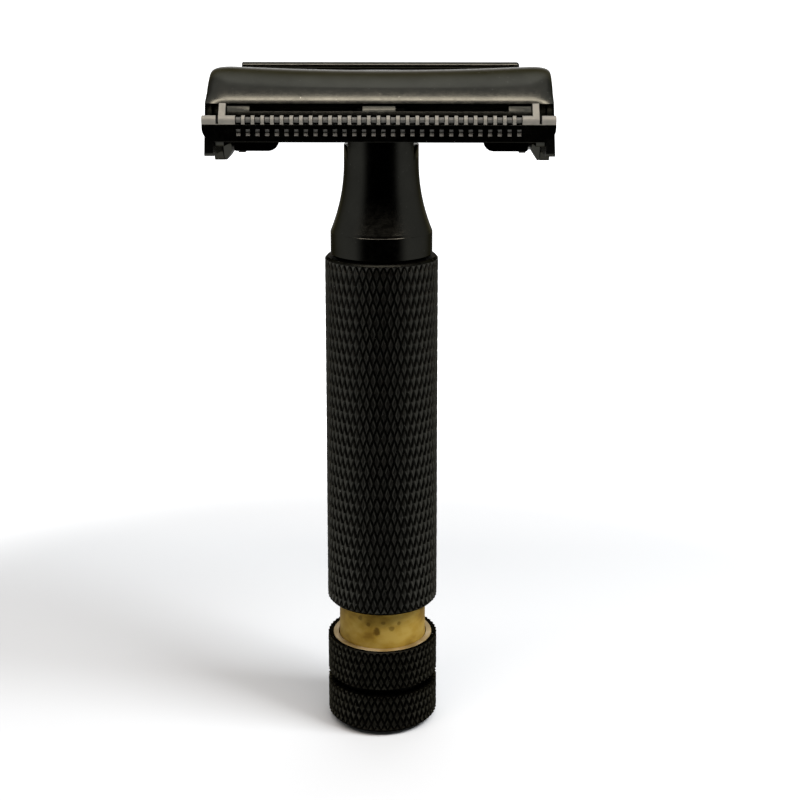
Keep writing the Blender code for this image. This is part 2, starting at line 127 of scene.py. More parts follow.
def build_room():
    world = bpy.data.worlds.new("studio")
    bpy.context.scene.world = world
    world.use_nodes = True
    tree = world.node_tree
    tree.nodes.clear()
    place = tree.nodes.new("ShaderNodeTexCoord")
    split = tree.nodes.new("ShaderNodeSeparateXYZ")
    link(tree, place.outputs["Generated"], split.inputs[0])
    x, y, z = split.outputs
    flat = math_node(tree, "SQRT", math_node(
        tree, "ADD", math_node(tree, "MULTIPLY", x, x), math_node(tree, "MULTIPLY", y, y)))
    facing = math_node(tree, "DIVIDE", math_node(tree, "MULTIPLY", y, -1.0), flat)
    sides = ramp_between(tree, facing, 0.45, 0.8, 0.30, 0.0)
    behind = math_node(tree, "MULTIPLY", ramp_between(tree, facing, -0.9, -0.6, 1.2, 0.0),
                       ramp_between(tree, z, -0.12, 0.0))
    above = ramp_between(tree, z, 0.6, 0.85, 0.0, 0.55)
    paper = ramp_between(tree, z, -0.85, -0.4, 0.62, 0.0)
    total = math_node(tree, "MAXIMUM", math_node(tree, "MAXIMUM", sides, behind),
                      math_node(tree, "MAXIMUM", above, paper))
    rays = tree.nodes.new("ShaderNodeLightPath")
    seen = math_node(tree, "MAXIMUM", total, rays.outputs["Is Camera Ray"])
    shade = tree.nodes.new("ShaderNodeBackground")
    link(tree, seen, shade.inputs["Color"])
    out = tree.nodes.new("ShaderNodeOutputWorld")
    link(tree, shade.outputs[0], out.inputs["Surface"])


build_room()

# %% [markdown]
# Two lamps are enough. A wide strip above the camera draws the bright line along the lip
# of the cap, and a soft lamp from the right throws the broad pale shadow to the left.

# %% Lamps
def area_lamp(name, place, aim, width, height, radiance):
    """A soft lamp in mm, its strength set by how bright its face looks."""
    data = bpy.data.lights.new(name, "AREA")
    data.shape = "RECTANGLE"
    data.size, data.size_y = width * MM, height * MM
    data.energy = radiance * math.pi * data.size * data.size_y
    lamp = bpy.data.objects.new(name, data)
    bpy.context.scene.collection.objects.link(lamp)
    lamp.location = Vector(place) * MM
    towards = Vector(aim) * MM - lamp.location
    lamp.rotation_euler = towards.to_track_quat("-Z", "Y").to_euler()
    return lamp


def lamp_place(turn, height, distance, middle=(0, 0, 60)):
    """A place seen from the razor: turn from the front to the right, height in degrees."""
    across = math.cos(math.radians(height)) * distance
    return (middle[0] + across * math.sin(math.radians(turn)),
            middle[1] - across * math.cos(math.radians(turn)),
            middle[2] + math.sin(math.radians(height)) * distance)


strip = area_lamp("strip_lamp", lamp_place(0, 56, 500, (0, 0, 80)), (0, 0, 80),
                  900, 90, 9.5)
strip.data.color = (1.0, 0.89, 0.80)
right = area_lamp("right_lamp", lamp_place(66, 48, 700), (0, 0, 40), 300, 300, 20.5)
right.visible_glossy = False

# %% [markdown]
# The floor is plain pale paper. Away from the razor it glows by itself, so it stays white
# at every distance, and polished metal mirrors the room's gradient instead of it.

# %% Floor
def paper():
    stock = bpy.data.materials.new("paper")
    stock.use_nodes = True
    tree = stock.node_tree
    shader = tree.nodes["Principled BSDF"]
    shader.inputs["Base Color"].default_value = (0.60, 0.62, 0.64, 1)
    shader.inputs["Roughness"].default_value = 0.9
    shader.inputs["Emission Color"].default_value = (1, 1, 1, 1)
    place = tree.nodes.new("ShaderNodeTexCoord")
    reach = tree.nodes.new("ShaderNodeVectorMath")
    reach.operation = "LENGTH"
    link(tree, place.outputs["Object"], reach.inputs[0])
    glow = ramp_between(tree, reach.outputs["Value"], 0.075, 0.14, 0.0, 1.0)
    link(tree, glow, shader.inputs["Emission Strength"])
    return stock


bpy.ops.mesh.primitive_plane_add(size=12.0, location=(0, 0, cad_box[0][2] - 0.00002))
floor = bpy.context.object
floor.name = "floor"
floor.data.materials.append(paper())
floor.visible_glossy = False

# %% [markdown]
# Finishes come next. Each is built from the same few nodes, reads Object coordinates so
# that it stays on its piece, and varies a little in tone, gloss and surface.

# %% Node helpers for finishes
def new_finish(name, metallic=1.0, edge=None):
    """A material with its Principled shader; edge is the metal's colour seen aslant."""
    finish = bpy.data.materials.new(name)
    finish.use_nodes = True
    shader = finish.node_tree.nodes["Principled BSDF"]
    shader.inputs["Metallic"].default_value = metallic
    if edge:
        shader.inputs["Specular Tint"].default_value = (*edge, 1)
    return finish, finish.node_tree, shader


def noise(tree, scale, detail=3.0, stretch=(1, 1, 1)):
    """Noise on Object coordinates, scale in lumps per metre."""
    place = tree.nodes.new("ShaderNodeTexCoord")
    mapping = tree.nodes.new("ShaderNodeMapping")
    mapping.inputs["Scale"].default_value = stretch
    link(tree, place.outputs["Object"], mapping.inputs["Vector"])
    texture = tree.nodes.new("ShaderNodeTexNoise")
    texture.inputs["Scale"].default_value = scale
    texture.inputs["Detail"].default_value = detail
    link(tree, mapping.outputs[0], texture.inputs["Vector"])
    return texture.outputs["Fac"]


def tint(tree, factor, stops):
    """Colours along a factor."""
    ramp = tree.nodes.new("ShaderNodeValToRGB")
    link(tree, factor, ramp.inputs["Fac"])
    marks = ramp.color_ramp.elements
    while len(marks) < len(stops):
        marks.new(0.5)
    for mark, (place, colour) in zip(marks, stops):
        mark.position = place
        mark.color = (*colour, 1)
    return ramp.outputs["Color"]


def blend_colour(tree, factor, first, second):
    """A Mix node between two colours or sockets."""
    node = tree.nodes.new("ShaderNodeMix")
    node.data_type = "RGBA"
    link(tree, factor, node.inputs["Factor"])
    for socket, value in ((node.inputs[6], first), (node.inputs[7], second)):
        if isinstance(value, tuple):
            socket.default_value = (*value, 1)
        else:
            link(tree, value, socket)
    return node.outputs[2]


def bump(tree, shader, height, depth):
    """Relief of a depth in metres, for what is too fine to model."""
    node = tree.nodes.new("ShaderNodeBump")
    node.inputs["Distance"].default_value = depth
    link(tree, height, node.inputs["Height"])
    link(tree, node.outputs[0], shader.inputs["Normal"])


# %% [markdown]
# The black coat is a thin hard film over polished brass: a dark metal with a warm cast,
# satin rather than mirror. Where fingers and tools rub it, on the knurl's crests, it
# turns a little paler. The knurl marks its crests with an attribute called crest, and its
# colour darkens down into the valleys as painted shade.

# %% Black coats
def black_coat(name, roughness, dark, light, worn_above=None):
    """The coat is worn to pale metal above a height in mm, if one is given."""
    finish, tree, shader = new_finish(name, edge=(0.36, 0.35, 0.33))
    colour = tint(tree, noise(tree, 260, 4.0), [(0.3, dark), (0.7, light)])
    gloss = ramp_between(tree, noise(tree, 1700, 2.0), 0.25, 0.75,
                         roughness - 0.03, roughness + 0.04)
    if worn_above is not None:
        place = tree.nodes.new("ShaderNodeTexCoord")
        split = tree.nodes.new("ShaderNodeSeparateXYZ")
        link(tree, place.outputs["Object"], split.inputs[0])
        rubbed = ramp_between(tree, split.outputs["Z"], worn_above * MM,
                              (worn_above + 0.15) * MM)
        patchy = ramp_between(tree, noise(tree, 1300, 3.0), 0.2, 0.6, 0.8, 1.0)
        rubbed = math_node(tree, "MULTIPLY", rubbed, patchy)
        colour = blend_colour(tree, rubbed, colour, (0.23, 0.218, 0.19))
        gloss = math_node(tree, "ADD", gloss, math_node(tree, "MULTIPLY", rubbed, 0.28))
        link(tree, ramp_between(tree, rubbed, 0.0, 1.0, 1.0, 0.4), shader.inputs["Metallic"])
    dust = ramp_between(tree, noise(tree, 4200, 1.0), 0.76, 0.80)
    colour = blend_colour(tree, dust, colour, (0.2, 0.2, 0.18))
    link(tree, colour, shader.inputs["Base Color"])
    link(tree, gloss, shader.inputs["Roughness"])
    bump(tree, shader, noise(tree, 9000, 2.0), 0.0000015)
    return finish


def knurl_coat_finish(name, valley_shade, body, worn, roughness):
    """The same coat on a knurl: painted shade darkening the valleys, rubbed crests."""
    finish, tree, shader = new_finish(name, edge=(0.25, 0.24, 0.22))
    crest = tree.nodes.new("ShaderNodeAttribute")
    crest.attribute_name = "crest"
    height = crest.outputs["Fac"]
    # painted shade: the colour darkens from the crests down into the valleys
    colour = blend_colour(tree, ramp_between(tree, height, 0.1, 0.8), valley_shade, body)
    rub = math_node(tree, "MULTIPLY", ramp_between(tree, height, 0.85, 1.0),
                    ramp_between(tree, noise(tree, 900, 3.0), 0.5, 0.72))
    colour = blend_colour(tree, rub, colour, worn)
    dust = ramp_between(tree, noise(tree, 3600, 1.0), 0.74, 0.78)
    colour = blend_colour(tree, dust, colour, (0.24, 0.235, 0.21))
    link(tree, colour, shader.inputs["Base Color"])
    gloss = ramp_between(tree, noise(tree, 1500, 2.0), 0.25, 0.75,
                         roughness - 0.05, roughness + 0.06)
    link(tree, gloss, shader.inputs["Roughness"])
    bump(tree, shader, noise(tree, 6000, 2.0), 0.000002)
    return finish


DARK, LIGHT = (0.058, 0.058, 0.050), (0.070, 0.070, 0.060)
smooth_coat = black_coat("smooth_black_coat", 0.22, DARK, LIGHT)
guard_coat = black_coat("worn_guard_coat", 0.24, DARK, LIGHT, worn_above=HEAD + 1.95)
# the first colour of each knurl coat is the painted shade of its valleys
knurl_coat = knurl_coat_finish("knurl_black_coat", (0.036, 0.036, 0.030),
                               (0.112, 0.110, 0.095), (0.15, 0.146, 0.125), 0.33)
knob_coat = knurl_coat_finish("knob_black_coat", (0.016, 0.0155, 0.013),
                              (0.058, 0.055, 0.042), (0.105, 0.098, 0.080), 0.34)
bare_sill, sill_tree, sill_shader = new_finish("bare_sill", 0.3)
sill_shader.inputs["Base Color"].default_value = (0.085, 0.083, 0.075, 1)
link(sill_tree, ramp_between(sill_tree, noise(sill_tree, 1500, 2.0), 0.3, 0.7, 0.38, 0.5),
     sill_shader.inputs["Roughness"])
print("black coats:", smooth_coat.name, knurl_coat.name, knob_coat.name)

# %% [markdown]
# The shank is bare brass that was never coated. Air and hands have toned it: olive and
# brown clouds, faint turning marks round it, and a few dark spots. The spots' places are
# given on the shank itself, so they turn with the knob.

# %% Spotted brass
SHANK_R = (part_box("knob_shank")[1].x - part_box("knob_shank")[0].x) / 2 / MM


def spot(tree, turn, height, wide, tall):
    """How far inside one oval spot a point is; turn in degrees from the front."""
    angle = math.radians(turn)
    centre = (SHANK_R * math.sin(angle), -SHANK_R * math.cos(angle), height)
    place = tree.nodes.new("ShaderNodeTexCoord")
    shift = tree.nodes.new("ShaderNodeMapping")
    shift.vector_type = "TEXTURE"
    shift.inputs["Location"].default_value = [value * MM for value in centre]
    shift.inputs["Scale"].default_value = (wide * MM, wide * MM, tall * MM)
    link(tree, place.outputs["Object"], shift.inputs["Vector"])
    length = tree.nodes.new("ShaderNodeVectorMath")
    length.operation = "LENGTH"
    link(tree, shift.outputs[0], length.inputs[0])
    ragged = math_node(tree, "ADD", length.outputs["Value"],
                       math_node(tree, "MULTIPLY", noise(tree, 2600, 3.0), 0.9))
    return ramp_between(tree, ragged, 0.95, 1.6, 1.0, 0.0)


def bare_brass(name, shades, spots=()):
    finish, tree, shader = new_finish(name, 0.4, edge=(0.75, 0.65, 0.45))
    cloud = noise(tree, 330, 5.0, (1, 1, 1.6))
    colour = tint(tree, cloud, list(zip((0.36, 0.5, 0.64), shades)))
    for index, (turn, height, wide, tall) in enumerate(spots):
        strength = 0.9 if index == 0 else 0.6
        mark = math_node(tree, "MULTIPLY", spot(tree, turn, height, wide, tall), strength)
        colour = blend_colour(tree, mark, colour, (0.10, 0.055, 0.006))
    link(tree, colour, shader.inputs["Base Color"])
    turning = noise(tree, 120, 2.0, (1, 1, 90))
    link(tree, ramp_between(tree, cloud, 0.3, 0.7, 0.30, 0.42), shader.inputs["Roughness"])
    bump(tree, shader, turning, 0.000004)
    return finish


SPOTS = [(-6, 13.7, 0.50, 0.66), (14, 14.1, 0.46, 0.40), (3, 14.9, 0.36, 0.26),
         (-29, 15.3, 0.36, 0.40), (-17, 14.6, 0.32, 0.32), (24, 14.7, 0.30, 0.30)]
spotted_brass = bare_brass("spotted_bare_brass", [(0.22, 0.13, 0.018), (0.34, 0.215, 0.034),
                                                  (0.40, 0.275, 0.06)], SPOTS)
rubbed_brass = bare_brass("rubbed_collar_brass", [(0.20, 0.14, 0.055), (0.27, 0.195, 0.085),
                                                  (0.36, 0.285, 0.17)])

# %% [markdown]
# Inside, the working pieces are plain turned brass and bright spring steel. They show
# when the cap is open, so they get a finish of their own too.

# %% Inner metals
def turned_metal(name, dark, light, roughness):
    finish, tree, shader = new_finish(name)
    link(tree, tint(tree, noise(tree, 400, 4.0), [(0.35, dark), (0.65, light)]),
         shader.inputs["Base Color"])
    lines = noise(tree, 300, 2.0, (1, 1, 40))
    link(tree, ramp_between(tree, lines, 0.3, 0.7, roughness - 0.06, roughness + 0.06),
         shader.inputs["Roughness"])
    bump(tree, shader, lines, 0.000003)
    return finish


inner_brass = turned_metal("turned_brass", (0.46, 0.32, 0.12), (0.60, 0.44, 0.18), 0.32)
spring_steel = turned_metal("spring_steel", (0.30, 0.30, 0.29), (0.42, 0.42, 0.41), 0.34)
FINISHES = {"black_coat": smooth_coat, "bare_brass": spotted_brass,
            "inner_brass": inner_brass, "spring_steel": spring_steel}
slots = {part["node"]: part["material_slot"] for part in frame["record"]["subparts"]}
for node, piece in frame["nodes"].items():
    for place in piece.material_slots:
        place.material = FINISHES[slots[node]]
print(len(slots), "nodes have a finish")

# %% [markdown]
# Every turned piece on this razor starts as a bar in a lathe, and a lathe cuts a profile.
# So each is a list of radius and height pairs swept round the axis. Small corner
# radii go into the profile itself, since an edge with no radius catches no light.

# %% Drawing helpers
def arc(centre, radius, start, end, steps):
    """Points on an arc, its angles in degrees."""
    turns = [math.radians(start + (end - start) * i / steps) for i in range(steps + 1)]
    return [(centre[0] + radius * math.cos(a), centre[1] + radius * math.sin(a))
            for a in turns]


def rounded(corners, steps=6):
    """An outline from corners with a radius each: (across, up, radius)."""
    points = []
    for i, (x, y, radius) in enumerate(corners):
        before, after = corners[i - 1], corners[(i + 1) % len(corners)]
        if not radius:
            points.append((x, y))
            continue
        back = math.atan2(before[1] - y, before[0] - x)
        ahead = math.atan2(after[1] - y, after[0] - x)
        opening = (ahead - back + math.pi) % (2 * math.pi) - math.pi
        reach = radius / abs(math.sin(opening / 2))
        middle = back + opening / 2
        centre = (x + reach * math.cos(middle), y + reach * math.sin(middle))
        first = math.degrees(back) - math.copysign(90, opening)
        sweep = math.copysign(180, opening) - math.degrees(opening)
        points += arc(centre, radius, first, first - sweep, steps)
    return points


def offset(line, distance):
    """An open line shifted to its right."""
    shifted = []
    for i, (x, y) in enumerate(line):
        before, after = line[max(i - 1, 0)], line[min(i + 1, len(line) - 1)]
        along = math.hypot(after[0] - before[0], after[1] - before[1])
        across = ((after[1] - before[1]) / along, (before[0] - after[0]) / along)
        shifted.append((x + across[0] * distance, y + across[1] * distance))
    return shifted


def add_piece(name, bm, finish, sharp=30):
    """Make an object in metres from a bmesh in millimetres."""
    bmesh.ops.remove_doubles(bm, verts=bm.verts, dist=1e-5)
    bmesh.ops.recalc_face_normals(bm, faces=bm.faces)
    bmesh.ops.scale(bm, vec=(MM, MM, MM), verts=bm.verts)
    mesh = bpy.data.meshes.new(name)
    bm.to_mesh(mesh)
    bm.free()
    mesh.materials.append(finish)
    mesh.shade_smooth()
    mesh.set_sharp_from_angle(angle=math.radians(sharp))
    piece = bpy.data.objects.new(name, mesh)
    bpy.context.scene.collection.objects.link(piece)
    return piece


def plain_mesh(piece):
    """Apply a piece's modifiers."""
    bpy.context.view_layer.update()
    graph = bpy.context.evaluated_depsgraph_get()
    mesh = bpy.data.meshes.new_from_object(piece.evaluated_get(graph))
    piece.modifiers.clear()
    old, piece.data = piece.data, mesh
    bpy.data.meshes.remove(old)
    return piece


def place_piece(piece, body, slot_name, *nodes):
    """Attach a finished piece to its body and hide the imported nodes it replaces."""
    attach(piece, body)
    if nodes:
        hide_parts(*nodes)
    print(piece.name, len(piece.data.polygons), "faces")
    return piece


# %% Turning helper
def turned(name, profile, finish, steps=128, closed=True, sharp=30):
    """Sweep (radius, height) points in mm about the Z axis."""
    bm = bmesh.new()
    rings = []
    for radius, height in profile:
        count = 1 if radius == 0 else steps
        rings.append([bm.verts.new((radius * math.sin(2 * math.pi * i / steps),
                                    -radius * math.cos(2 * math.pi * i / steps), height))
                      for i in range(count)])
    pairs = list(zip(rings, rings[1:]))
    if closed:
        pairs.append((rings[-1], rings[0]))
    for above, below in pairs:
        for i in range(steps):
            j = (i + 1) % steps
            corners = [above[i % len(above)], above[j % len(above)],
                       below[j % len(below)], below[i % len(below)]]
            corners = list(dict.fromkeys(corners))
            if len(corners) > 2:
                bm.faces.new(corners)
    return add_piece(name, bm, finish, sharp)


# %% [markdown]
# The grip is knurled: two sets of slanting grooves cross and leave small pyramids. Each
# pyramid is the same, so Geometry Nodes lays one tile in staggered rows on a flat sheet
# and then wraps the sheet round the handle. A tile that sticks out past an end is cut
# off flat there, as the lathe tool does it.

# %% Knurl tree
def knurl_tree():
    tree = bpy.data.node_groups.new("knurl", "GeometryNodeTree")
    for name, kind in (("Starts", "Int"), ("Rows", "Int"), ("Rise", "Float"),
                       ("Radius", "Float"), ("Depth", "Float"), ("Low", "Float"),
                       ("High", "Float"), ("Flat", "Float"), ("Finish", "Material")):
        tree.interface.new_socket(name, in_out="INPUT", socket_type="NodeSocket" + kind)
    tree.interface.new_socket("Knurl", in_out="OUTPUT", socket_type="NodeSocketGeometry")
    given = tree.nodes.new("NodeGroupInput").outputs

    def node(kind, settings=None, **inputs):
        made = tree.nodes.new(kind)
        for key, value in (settings or {}).items():
            setattr(made, key, value)
        for key, value in inputs.items():
            socket = made.inputs[key.replace("_", " ")]
            if isinstance(value, bpy.types.NodeSocket):
                tree.links.new(value, socket)
            else:
                socket.default_value = value
        return made

    def calc(operation, *values):
        made = tree.nodes.new("ShaderNodeMath")
        made.operation = operation
        for socket, value in zip(made.inputs, values):
            if isinstance(value, bpy.types.NodeSocket):
                tree.links.new(value, socket)
            else:
                socket.default_value = value
        return made.outputs[0]

    def split():
        place = node("GeometryNodeInputPosition").outputs[0]
        return node("ShaderNodeSeparateXYZ", Vector=place).outputs

    def join(x, y, z):
        return node("ShaderNodeCombineXYZ", X=x, Y=y, Z=z).outputs[0]

    # one pyramid: a diamond one unit wide and high, raised by one unit
    tile = node("GeometryNodeMeshCircle", {"fill_type": "NGON"}, Vertices=4, Radius=0.5)
    shape, top = tile.outputs[0], None
    for lift, width in ((0.0, 0.93), (0.93, given["Flat"]), (0.07, 0.6)):
        step = node("GeometryNodeExtrudeMesh", Mesh=shape, Offset=(0, 0, 1),
                    Offset_Scale=lift)
        if top is not None:
            tree.links.new(top, step.inputs["Selection"])
        top = step.outputs["Top"]
        shape = node("GeometryNodeScaleElements", Geometry=step.outputs["Mesh"],
                     Selection=top, Scale=width).outputs[0]
    # staggered rows of points, half a unit apart
    wide = calc("SUBTRACT", given["Starts"], 1)
    tall = calc("MULTIPLY", calc("SUBTRACT", given["Rows"], 1), 0.5)
    points = node("GeometryNodeMeshGrid", Size_X=wide, Size_Y=tall,
                  Vertices_X=given["Starts"], Vertices_Y=given["Rows"])
    row = calc("ROUND", calc("MULTIPLY_ADD", split()["Y"], 2, tall))
    stagger = calc("MULTIPLY", calc("FLOORED_MODULO", row, 2), 0.5)
    spread = node("GeometryNodeSetPosition", Geometry=points.outputs["Mesh"],
                  Offset=join(stagger, 0.0, 0.0))
    tiles = node("GeometryNodeInstanceOnPoints", Points=spread.outputs[0], Instance=shape)
    flat = node("GeometryNodeRealizeInstances", Geometry=tiles.outputs[0])
    crest = node("GeometryNodeStoreNamedAttribute", {"data_type": "FLOAT"},
                 Geometry=flat.outputs[0], Name="crest", Value=split()["Z"])
    # wrap the sheet round the axis
    x, y, z = split()
    angle = calc("MULTIPLY", calc("DIVIDE", x, given["Starts"]), 2 * math.pi)
    radius = calc("MULTIPLY_ADD", calc("SUBTRACT", z, 1), given["Depth"], given["Radius"])
    middle = calc("MULTIPLY", calc("ADD", given["Low"], given["High"]), 0.5)
    height = calc("MULTIPLY_ADD", y, given["Rise"], middle)
    height = calc("MINIMUM", calc("MAXIMUM", height, given["Low"]), given["High"])
    around = join(calc("MULTIPLY", radius, calc("SINE", angle)),
                  calc("MULTIPLY", calc("MULTIPLY", radius, calc("COSINE", angle)), -1),
                  height)
    wrapped = node("GeometryNodeSetPosition", Geometry=crest.outputs[0], Position=around)
    welded = node("GeometryNodeMergeByDistance", Geometry=wrapped.outputs[0],
                  Distance=0.000002)
    coated = node("GeometryNodeSetMaterial", Geometry=welded.outputs[0],
                  Material=given["Finish"])
    tree.links.new(coated.outputs[0], tree.nodes.new("NodeGroupOutput").inputs[0])
    return tree


KNURL = knurl_tree()
print("the knurl tree has", len(KNURL.nodes), "nodes")


# %% Knurled band helper
def knurled_band(starts, rise, radius, depth, low, high, crest_flat, finish):
    """One band of pyramids as a bmesh in mm, open at both rims.

    A last row whose crests lie wholly past an end is squashed onto the rim's height.
    """
    holder = bpy.data.objects.new("band", bpy.data.meshes.new("band"))
    bpy.context.scene.collection.objects.link(holder)
    step = holder.modifiers.new("knurl", "NODES")
    step.node_group = KNURL
    values = {"Starts": starts, "Rows": int((high - low) / rise * 2) + 2,
              "Rise": rise * MM, "Radius": radius * MM, "Depth": depth * MM,
              "Low": low * MM, "High": high * MM, "Flat": crest_flat,
              "Finish": finish}
    for socket in KNURL.interface.items_tree:
        if socket.in_out == "INPUT":
            step[socket.identifier] = values[socket.name]
    plain_mesh(holder)
    bm = bmesh.new()
    bm.from_mesh(holder.data)
    bpy.data.objects.remove(holder)
    bmesh.ops.scale(bm, vec=(1 / MM, 1 / MM, 1 / MM), verts=bm.verts)
    return bm


def turn_of(vert):
    """A corner's angle round the axis."""
    return math.atan2(vert.co.y, vert.co.x)


def rim(bm, height):
    """The corners of the open edge at one height, in order round the axis."""
    corners = {vert for edge in bm.edges if edge.is_boundary for vert in edge.verts
               if all(abs(end.co.z - height) < 1e-3 for end in edge.verts)}
    return sorted(corners, key=turn_of)


# New corners carry no crest value, so a knurl coat gives the faces they make its darkest valley
# colour, a painted shade.
def run_rim(bm, ring, profile):
    """Carry a rim through (radius, height) points, like a lathe profile."""
    for radius, height in profile:
        grown = [bm.verts.new((radius * math.cos(turn_of(vert)),
                               radius * math.sin(turn_of(vert)), height)) for vert in ring]
        for k in range(len(ring)):
            n = (k + 1) % len(ring)
            bm.faces.new((ring[k], ring[n], grown[n], grown[k]))
        ring = grown
    return ring


def stitch(bm, first, second):
    """Close the gap between two rims with triangles, walking round both by angle."""
    def angle(ring, k):
        return turn_of(ring[k % len(ring)]) + 2 * math.pi * (k // len(ring))

    a = b = 0
    while a < len(first) or b < len(second):
        here, there = first[a % len(first)], second[b % len(second)]
        if b == len(second) or (a < len(first)
                                and angle(first, a + 1) <= angle(second, b + 1)):
            a += 1
            bm.faces.new((here, first[a % len(first)], there))
        else:
            b += 1
            bm.faces.new((here, second[b % len(second)], there))


# %% [markdown]
# The barrel has fifty starts each way, which makes steep, slender diamonds. Its ends
# have a plain chamfer, and the knurl stops a little short of them.

# %% Knurled barrel
low_corner, high_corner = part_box("handle_barrel")
GRIP_R = high_corner.x / MM
BARREL = (low_corner.z / MM, high_corner.z / MM)
KNURL_DEPTH = 0.22
CHAMFER = 0.3
BAND = (BARREL[0] + CHAMFER, BARREL[1] - CHAMFER)
band = knurled_band(50, 2.93, GRIP_R, KNURL_DEPTH, *BAND, 0.5, knurl_coat)
plain_r, bore = GRIP_R - 0.1, SHANK_R + 0.3
top = run_rim(band, rim(band, BAND[1]),
              [(plain_r, BAND[1]), (plain_r, BARREL[1] - 0.22),
               (GRIP_R - 0.26, BARREL[1] - 0.03), (GRIP_R - 0.3, BARREL[1]),
               (bore, BARREL[1])])
bottom = run_rim(band, rim(band, BAND[0]),
                 [(plain_r, BAND[0]), (plain_r, BARREL[0] + 0.22),
                  (GRIP_R - 0.26, BARREL[0] + 0.03), (GRIP_R - 0.3, BARREL[0]),
                  (bore, BARREL[0])])
stitch(band, top, bottom)
barrel = add_piece("knurled_barrel", band, knurl_coat, 15)
place_piece(barrel, "handle", "black_coat", "handle_barrel")

# %% [markdown]
# The knob carries the same kind of knurl, a little finer, in two bands with a plain
# groove between them. Its top is recessed, and the brass collar lies in the recess.
# Known fault: the lower band has open edges at both rims, so this mesh is not closed.

# %% Knurled knob
KNOB_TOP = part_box("knob")[1].z / MM
KNOB_EDGE = KNOB_TOP - 0.07
RECESS_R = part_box("shank_collar")[1].x / MM + 0.1
RECESS_FLOOR = 10.9
KNOB_BORE = 3.3
FOOT = 0.95
GROOVE = (5.5, 6.5)
GROOVE_R = GRIP_R - 0.9
knob = knurled_band(52, 2.19, GRIP_R, KNURL_DEPTH, FOOT, GROOVE[0], 0.45, knob_coat)
upper = knurled_band(52, 2.19, GRIP_R, KNURL_DEPTH, GROOVE[1], KNOB_EDGE, 0.45, knob_coat)
holder = bpy.data.meshes.new("upper")
upper.to_mesh(holder)
upper.free()
knob.from_mesh(holder)
knob_r = GRIP_R - 0.1
# The groove's faces take that darkest valley colour: painted shade in the groove.
groove = run_rim(knob, rim(knob, GROOVE[0]), [(GROOVE_R, 5.54)])
wall = run_rim(knob, rim(knob, GROOVE[1]), [(GROOVE_R, 6.46)])
stitch(knob, groove, wall)
top = run_rim(knob, rim(knob, KNOB_EDGE),
              [(knob_r - 0.02, KNOB_EDGE), (knob_r - 0.1, KNOB_TOP),
               (RECESS_R + 0.02, KNOB_TOP), (RECESS_R, KNOB_TOP - 0.03),
               (RECESS_R, RECESS_FLOOR), (KNOB_BORE, RECESS_FLOOR)])
bottom = run_rim(knob, rim(knob, FOOT),
                 [(knob_r, FOOT), (6.9, 0.82), (6.7, 0.6), (6.3, 0.4), (5.6, 0.22),
                  (4.8, 0.08), (4.0, 0.0), (KNOB_BORE, 0.0)])
stitch(knob, top, bottom)
knob = add_piece("knurled_knob", knob, knob_coat, 15)
place_piece(knob, "knob", "black_coat", "knob")

# %% [markdown]
# The neck is one smooth turned piece. A straight flange stands on the barrel, and a
# hollow curve runs from it up to the head, where a slot lets the lifting yoke pass.

# %% Neck
NECK_R, FLANGE_R = 4.63, 6.35
TAPER_LOW, TAPER = 64.75, 8.65
CURVE_R = 6.28


def neck_radius(height):
    """The curve between the flange and the straight top."""
    part = min(max((height - TAPER_LOW) / TAPER, 0.0), 1.0)
    return NECK_R + (CURVE_R - NECK_R) * (1 - part) ** 2.1


def boolean(piece, cutter, operation="DIFFERENCE"):
    """Cut or join a piece with another, which is used up."""
    step = piece.modifiers.new("cut", "BOOLEAN")
    step.operation = operation
    step.object = cutter
    step.material_mode = "TRANSFER"
    plain_mesh(piece)
    bpy.data.objects.remove(cutter)
    return piece


def block(low, high):
    """A box as a cutter."""
    bm = bmesh.new()
    bmesh.ops.create_cube(bm, size=1.0)
    for vert in bm.verts:
        vert.co = [(a + b) / 2 + c * (b - a) for a, b, c in zip(low, high, vert.co)]
    return add_piece("block", bm, smooth_coat)


taper = [73.4 - TAPER * i / 40 for i in range(41)]
neck_top = HEAD + 3.3
profile = [(3.0, neck_top), (NECK_R, neck_top)]
profile += [(neck_radius(height), height) for height in taper]
profile += [(FLANGE_R - 0.06, 64.66), (FLANGE_R, 64.56), (FLANGE_R, 61.85),
            (FLANGE_R - 0.12, 61.7), (SHANK_R, 61.7), (SHANK_R, 50.0), (3.7, 50.0), (3.7, 58.4),
            (3.0, 58.4)]
neck = turned("turned_neck", profile, smooth_coat)
boolean(neck, block((-8, -2.3, HEAD - 1.45), (8, 2.3, neck_top + 1)))
place_piece(neck, "handle", "black_coat", "neck_adapter")

# %% [markdown]
# The shank and its collar are bare brass. The shank meets the collar in a small fillet
# where grime gathers, and the collar is a thin ring set into the knob.

# %% Shank and collar
profile = [(1.6, 28.0), (SHANK_R - 0.4, 28.0), (SHANK_R, 27.6), (SHANK_R, 11.62),
           (SHANK_R + 0.04, 11.54), (SHANK_R + 0.04, 11.1), (3.05, 11.1), (3.05, 3.0),
           (1.6, 3.0)]
shank = turned("brass_shank", profile, spotted_brass)
place_piece(shank, "knob", "bare_brass", "knob_shank")
profile = rounded([(SHANK_R + 0.12, 11.1, 0), (SHANK_R + 0.12, 11.5, 0.06),
                   (RECESS_R - 0.05, 11.5, 0.12), (RECESS_R - 0.05, 11.1, 0)], 4)
collar = turned("brass_collar", profile, rubbed_brass)
place_piece(collar, "knob", "bare_brass", "shank_collar")

# %% [markdown]
# The cap is one drawn cover. Its section changes only at the ends, where it turns down
# into the ears, so it is a loft along X: the same outline at many stations, lowered
# towards each end on a tight curve. A hollow solid then leaves the wall of the sheet.

# %% Cap shape
SHEET = 0.8
CROWN = (-2.4, 8.1)
CAP_R = 7.0
LIP = (-8.6, 4.27)
END_WIDE, END_HIGH, END_POWER = 2.6, 1.0, 3.2
PLAN_WIDE, PLAN_DEEP = 2.5, 1.3
SAG, SAG_HALF = 0.45, 18.0


